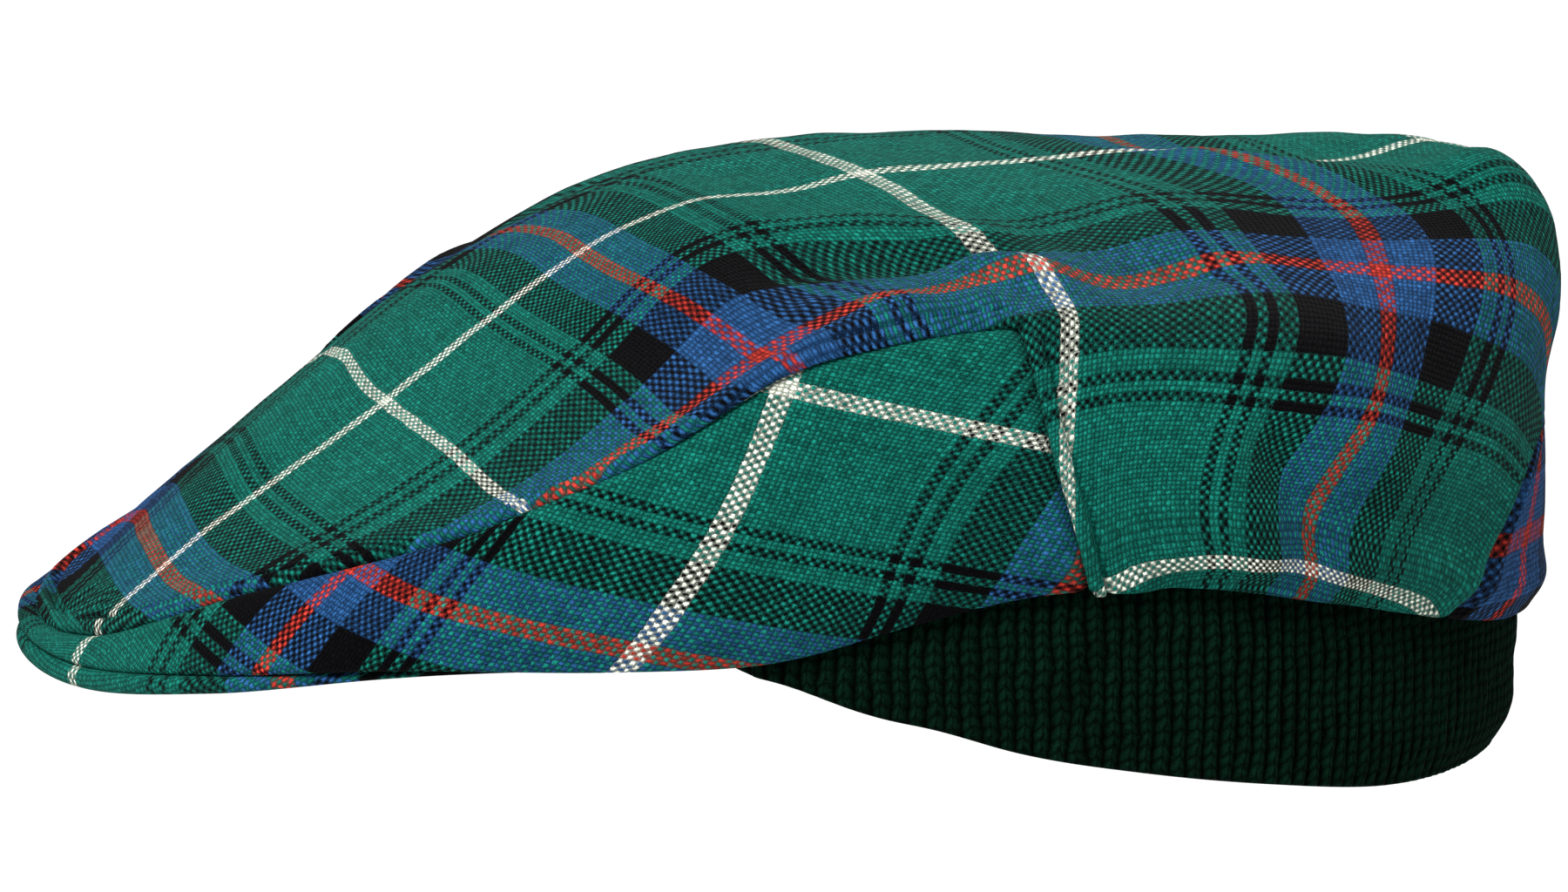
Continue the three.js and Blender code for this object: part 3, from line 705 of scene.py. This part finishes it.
KNIT_START, KNIT_TUCK, KNIT_INSET, KNIT_GAP, KNIT_THICKNESS = 39.6, 14.0, 3.2, 0.5, 2.2
RIB_PITCH, RIB_DEPTH, STITCH_ROW = 3.1, 1.1, 2.1
RIB_FULLNESS, RIB_MIDDLE, RIB_INSIDE = 2.4, 0.75, 0.6  # its form, its mean height and its share inside
RIB_COLUMNS, KNIT_ROWS, EDGE_ROWS, INNER_ROWS = 6, 40, 6, 12  # the mesh
FINE_STEPS = 1440  # for measuring along the hem
RIB_WOBBLE, RIB_LUMPS = (0.16, 0.9, 5, 4.2), (0.22, 0.7, 3, 9.1)  # amount, for each rib, height, seed
END_LIFT, END_DROP = (1.6, 3), (-1.5, 9.5, 6)  # the lower edge by the temples, over degrees
KNIT_BACK = (100, 150)  # azimuths over which the knit draws in towards the back
EDGE_DRAW, EDGE_DRAW_BACK, EDGE_DRAW_HEIGHT = 0.8, 3.4, 9  # how far the lower edge draws in
HEM_NIP, BACK_NIP, BACK_NIP_HEIGHT = (1.1, 0, 5), 1.4, 9  # how far it is set in at the hem and the back


def even_azimuths(start, end, count):
    """Azimuths at even lengths along the hem, and the length in all."""
    fine = steps(start, end, FINE_STEPS)
    line = round_head(section("hem_r", fine), fine, 0)
    lengths = np.concatenate([[0], np.linalg.norm(np.diff(line, axis=0), axis=-1).cumsum()])
    return np.interp(steps(0, lengths[-1], count), lengths, fine), lengths[-1]


def rib_waver(rib, height, amount, by_rib, by_height, seed):
    places = [Vector((r * by_rib, z / by_height, seed)) for r, z in zip(rib, height)]
    return np.array([amount * noise.noise(place) for place in places])


def make_ear_band():
    length = even_azimuths(KNIT_START, 360 - KNIT_START, 2)[1]
    ribs = round(length / RIB_PITCH)
    columns, _ = even_azimuths(KNIT_START, 360 - KNIT_START, ribs * RIB_COLUMNS)
    rib = steps(0, ribs, ribs * RIB_COLUMNS)
    hem, wall = corner("hem", columns), corner("wall", columns)
    close_in = np.maximum(0, hem[:, 0] - wall[:, 0]) * KNIT_TUCK / (wall[:, 1] - hem[:, 1])
    top_inset = PART_CLOTH + KNIT_GAP + close_in
    top, bottom = hem[:, 1] + KNIT_TUCK, section("knit_z", columns)
    from_end = np.abs(from_tip(columns)) - KNIT_START
    bottom += END_LIFT[0] * (1 - smooth_step(0, END_LIFT[1], from_end)) + ridge(from_end, *END_DROP)
    back = smooth_step(*KNIT_BACK, np.abs(from_tip(columns)))
    half = KNIT_THICKNESS / 2
    ring = [(share, 0.0) for share in steps(0, 1, KNIT_ROWS)]
    ring += [(1.0, turn) for turn in steps(0, math.pi, EDGE_ROWS)[1:-1]]
    ring += [(share, math.pi) for share in steps(1, 0, INNER_ROWS)]
    points, threads = [], []
    for share, turn in ring:
        height = top + (bottom + half - top) * share
        stitch = rib + rib_waver(rib, height, *RIB_WOBBLE)
        full = 1 - np.abs(2 * (stitch % 1) - 1) ** RIB_FULLNESS
        low = np.maximum(0, 1 - (height - bottom) / EDGE_DRAW_HEIGHT)
        inset = top_inset + (KNIT_INSET - top_inset) * share
        inset += (EDGE_DRAW + EDGE_DRAW_BACK * back) * low ** 2
        below = hem[:, 1] - height
        inset += ridge(below, *HEM_NIP) + BACK_NIP * back * smooth_step(0, BACK_NIP_HEIGHT, below)
        swell = math.cos(turn)
        rise = RIB_DEPTH * (full - RIB_MIDDLE) * (swell if swell > 0 else RIB_INSIDE * swell)
        rise += rib_waver(rib, height, *RIB_LUMPS) * swell
        radius = hem[:, 0] - inset - half + half * swell + rise
        height = height - half * math.sin(turn)
        points.append(round_head(radius, columns, height))
        threads.append(np.stack([stitch, height / STITCH_ROW], axis=-1))
    return ring_body("ear_band_knit", np.stack(points, axis=1), np.stack(threads, axis=1))


# Finishes. The unevenness of the wool is in bumps for each metre.
WEAVE_DRIFT, WEAVE_FUZZ, WEAVE_FIBRE, WEAVE_CLOUD = 700.0, 2600.0, 3800.0, 45.0
KNIT_SLACK, KNIT_FUZZ, KNIT_FIBRE, KNIT_CLOUD = 160.0, 900.0, 2600.0, 120.0
WEAVE_RELIEF, KNIT_RELIEF, RELIEF_STRENGTH = 0.00045, 0.0006, 0.7  # heights of the bumps, in metres


def linear(colour):
    values = [c / 255 for c in colour]
    return tuple(c / 12.92 if c <= 0.04045 else ((c + 0.055) / 1.055) ** 2.4 for c in values) + (1.0,)


class Wire:
    """A shader value that can be used in a plain sum or product."""

    def __init__(self, finish, socket):
        self.finish, self.socket = finish, socket

    def math(self, operation, *others):
        return self.finish.node("ShaderNodeMath", {"operation": operation},
                                {k: v for k, v in enumerate((self, *others))})

    def __add__(self, other):
        return self.math("ADD", other)

    def __sub__(self, other):
        return self.math("SUBTRACT", other)

    def __mul__(self, other):
        return self.math("MULTIPLY", other)

    def __truediv__(self, other):
        return self.math("DIVIDE", other)

    def __pow__(self, other):
        return self.math("POWER", other)

    def __rsub__(self, other):
        return self.finish.node("ShaderNodeMath", {"operation": "SUBTRACT"}, {0: other, 1: self})

    __radd__ = __add__
    __rmul__ = __mul__

    def floor(self):
        return self.math("FLOOR")

    def fraction(self):
        return self - self.floor()

    def size(self):
        return self.math("ABSOLUTE")

    def odd(self):
        return self.math("FLOORED_MODULO", 2.0)


class Finish:
    """A material with its shader, and one method that adds any node."""

    def __init__(self, name):
        self.material = bpy.data.materials.new(name)
        self.material.use_nodes = True
        self.tree = self.material.node_tree
        self.shader = self.tree.nodes["Principled BSDF"]

    def node(self, kind, settings, sockets, output=0):
        made = self.tree.nodes.new(kind)
        for name, value in settings.items():
            if name == "stops":
                made.color_ramp.interpolation = "CONSTANT"
                for k, (position, colour) in enumerate(value):
                    stops = made.color_ramp.elements
                    stop = stops[k] if k < len(stops) else stops.new(position)
                    stop.position, stop.color = position, colour
            else:
                setattr(made, name, value)
        for key, value in sockets.items():
            if isinstance(value, Wire):
                self.tree.links.new(value.socket, made.inputs[key])
            else:
                made.inputs[key].default_value = value
        return Wire(self, made.outputs[output])

    def mix(self, factor, first, second, blend="MIX"):
        return self.node("ShaderNodeMix", {"data_type": "RGBA", "blend_type": blend},
                         {0: factor, 6: first, 7: second}, 2)

    def thread_counts(self):
        """The place on the piece, and the thread counts across and along there."""
        place = self.node("ShaderNodeTexCoord", {}, {}, 3)
        counts = self.node("ShaderNodeUVMap", {"uv_map": "threads"}, {})
        across, along = (self.node("ShaderNodeSeparateXYZ", {}, {0: counts}, k) for k in (0, 1))
        return place, across, along

    def relief(self, distance, height):
        return self.node("ShaderNodeBump", {}, {"Strength": RELIEF_STRENGTH, "Distance": distance,
                                                "Height": height})

    def grey(self, value):
        return self.node("ShaderNodeCombineColor", {}, {0: value, 1: value, 2: value})

    def speckle(self, where, scale, detail=2.0):
        return self.node("ShaderNodeTexNoise", {}, {"Vector": where, "Scale": scale, "Detail": detail})

    def set(self, **values):
        for name, value in values.items():
            socket = self.shader.inputs[name.replace("_", " ")]
            if isinstance(value, Wire):
                self.tree.links.new(value.socket, socket)
            else:
                socket.default_value = value
        return self.material


def sett_stops():
    stops, thread = [], 0
    for colour, count in SETT:
        stops.append((thread / HALF_SETT, linear(YARN[colour])))
        thread += count
    return stops


def tartan(name):
    """Plain-weave wool: warp and weft threads that pass over each other in turn."""
    wool = Finish(name)
    place, across, along = wool.thread_counts()
    drift, fuzz = wool.speckle(place, WEAVE_DRIFT) - 0.5, wool.speckle(place, WEAVE_FUZZ) - 0.5
    across = across * HALF_SETT + drift * 0.5 + fuzz * 0.75
    along = along * HALF_SETT - drift * 0.5 + fuzz * 0.75
    warp, weft = across.floor(), along.floor()
    over = (warp + weft).odd()
    crossing = wool.node("ShaderNodeCombineXYZ", {}, {0: warp, 1: weft})
    loft = wool.node("ShaderNodeTexWhiteNoise", {"noise_dimensions": "2D"}, {"Vector": crossing})
    colours = []
    for thread, turn in ((warp, 0.37), (weft, 0.61)):
        position = ((thread + 0.5) / HALF_SETT).math("PINGPONG", 1.0)
        uneven = wool.node("ShaderNodeTexWhiteNoise", {"noise_dimensions": "1D"}, {"W": thread * turn})
        dyed = wool.node("ShaderNodeValToRGB", {"stops": sett_stops()}, {0: position})
        colours.append(wool.mix(1.0, dyed, wool.grey(0.8 + 0.4 * uneven), "MULTIPLY"))
    upper, lower = wool.mix(over, colours[0], colours[1]), wool.mix(over, colours[1], colours[0])
    x, y = 2 * across.fraction() - 1, 2 * along.fraction() - 1
    warp_dome = (1 - x * x) * (1 - 0.75 * y * y)
    weft_dome = (1 - y * y) * (1 - 0.75 * x * x)
    dome = warp_dome * (1 - over) + weft_dome * over
    fibre, cloud = wool.speckle(place, WEAVE_FIBRE, 3.0), wool.speckle(place, WEAVE_CLOUD)
    covered = (1.3 * dome ** 0.8).math("MINIMUM", 1.0)  # between the threads the lower one shows
    yarn = wool.mix(covered, lower, upper)
    # Painted shade: each thread darkens towards its edges, into the gaps between threads. Painted light:
    # cells with the warp on top are lighter than cells with the weft on top. Fibre, cloud and loft add
    # random tone.
    painted_shade_and_tone = (0.38 + 1.04 * dome ** 1.2) * (1.14 - 0.28 * over)
    painted_shade_and_tone = painted_shade_and_tone * (0.35 + 1.3 * fibre) * (0.85 + 0.3 * cloud) * (0.72 + 0.56 * loft)
    colour = wool.mix(1.0, yarn, wool.grey(painted_shade_and_tone), "MULTIPLY")
    bump = wool.relief(WEAVE_RELIEF, dome + 0.5 * fibre)
    return wool.set(Base_Color=colour, Roughness=0.92, Normal=bump, Sheen_Weight=0.01,
                    Sheen_Roughness=0.5, Specular_IOR_Level=0.03)


def ribbed_knit(name):
    """Columns of knitted loops, one on each rib of the mesh."""
    wool = Finish(name)
    place, rib, row = wool.thread_counts()
    slack, fuzz = wool.speckle(place, KNIT_SLACK) - 0.5, wool.speckle(place, KNIT_FUZZ) - 0.5
    x = 2 * (rib + 0.5 * slack + 0.35 * fuzz).fraction() - 1
    loop = (row + 0.55 * x.size() + 1.2 * slack + 0.5 * fuzz).fraction()
    y = 2 * loop - 1
    dome = (1 - y * y) * (1 - x * x * 0.6)
    crest = 1 - x.size() ** 3.0
    legs = (5 * x.size()).math("MINIMUM", 1.0)  # each loop's two legs, with painted shade in the groove between them
    fibre, cloud = wool.speckle(place, KNIT_FIBRE, 4.0), wool.speckle(place, KNIT_CLOUD)
    # Painted shade: darker in the grooves between ribs, between a loop's legs and towards each loop's
    # edges. Fibre and cloud add random tone.
    painted_shade_and_tone = (0.04 + 0.96 * crest) * (0.3 + 0.7 * legs) * (0.4 + 0.85 * dome)
    painted_shade_and_tone = painted_shade_and_tone * (0.2 + 1.6 * fibre) * (0.5 + cloud)
    colour = wool.mix(1.0, linear(KNIT_GREEN), wool.grey(painted_shade_and_tone), "MULTIPLY")
    bump = wool.relief(KNIT_RELIEF, dome + 0.8 * fibre)
    return wool.set(Base_Color=colour, Roughness=0.95, Normal=bump, Sheen_Weight=0.0,
                    Specular_IOR_Level=0.02)


def pale_floor(name):
    floor = Finish(name)
    place = floor.node("ShaderNodeTexCoord", {}, {}, 3)
    mottle = floor.speckle(place, 6.0)
    tone = floor.mix(mottle, (0.66, 0.66, 0.66, 1), (0.7, 0.7, 0.7, 1))
    return floor.set(Base_Color=tone, Roughness=0.9, Specular_IOR_Level=0.0)


def dress(piece, material, slot, *nodes):
    piece.data.materials.append(material)
    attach(piece, "root")
    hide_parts(*nodes)
    return piece


top_panel = dress(make_top_panel(), tartan("top tartan"), "tartan_top", "top_panel")
side_band = dress(make_side_band(), tartan("band tartan"), "tartan_band", "side_band")
dress(make_peak(), tartan("peak tartan"), "tartan_peak", "peak")
ear_band = dress(make_ear_band(), ribbed_knit("dark green knit"), "dark_green_knit", "ear_band")

# Camera, floor and light
VIEW_AZIMUTH, VIEW_ELEVATION, VIEW_DISTANCE = 62.0, 6.0, 1.1
VIEW_TARGET = Vector((-0.0155, -0.0292, 0.01765))
FOCAL_PIXELS, IMAGE_WIDTH, SENSOR = 7436.0, 1800.0, 36.0
FLOOR_HEIGHT, FLOOR_SIZE = -0.9, 60
LIGHTS = (  # name, azimuth, elevation, strength, width of the source in degrees
    ("front window", 36, 42, 4.75, 28),
    ("roof window", 60, 80, 0.3, 60),
    ("back window", 215, 35, 1.3, 60),
)
LIGHT_DISTANCE, ROOM_LIGHT = 2, 0.27


def from_direction(azimuth, elevation):
    a, e = math.radians(azimuth), math.radians(elevation)
    return Vector((math.sin(a) * math.cos(e), -math.cos(a) * math.cos(e), math.sin(e)))


def aim(thing, place, target):
    thing.location = place
    thing.rotation_mode = "QUATERNION"
    thing.rotation_quaternion = (target - place).to_track_quat("-Z", "Y")
    bpy.context.scene.collection.objects.link(thing)


lens = bpy.data.cameras.new("camera")
lens.sensor_width = SENSOR
lens.lens = FOCAL_PIXELS / IMAGE_WIDTH * SENSOR
camera = bpy.data.objects.new("camera", lens)
aim(camera, VIEW_TARGET + VIEW_DISTANCE * from_direction(VIEW_AZIMUTH, VIEW_ELEVATION), VIEW_TARGET)
bpy.context.scene.camera = camera

for name, azimuth, elevation, strength, width in LIGHTS:
    window = bpy.data.lights.new(name, "SUN")
    window.energy, window.angle = strength, math.radians(width)
    place = VIEW_TARGET + LIGHT_DISTANCE * from_direction(azimuth, elevation)
    aim(bpy.data.objects.new(name, window), place, VIEW_TARGET)

world = bpy.data.worlds.new("studio")
world.use_nodes = True
room = world.node_tree.nodes["Background"].inputs
room["Color"].default_value, room["Strength"].default_value = (1, 1, 1, 1), ROOM_LIGHT
bpy.context.scene.world = world
bpy.context.scene.view_settings.view_transform = "Standard"

ground = bmesh.new()
bmesh.ops.create_grid(ground, x_segments=1, y_segments=1, size=FLOOR_SIZE)
bmesh.ops.translate(ground, verts=ground.verts, vec=(0, 0, FLOOR_HEIGHT))
ground_mesh = bpy.data.meshes.new("floor")
ground.to_mesh(ground_mesh)
ground.free()
floor = bpy.data.objects.new("floor", ground_mesh)
floor.data.materials.append(pale_floor("pale floor"))
bpy.context.scene.collection.objects.link(floor)
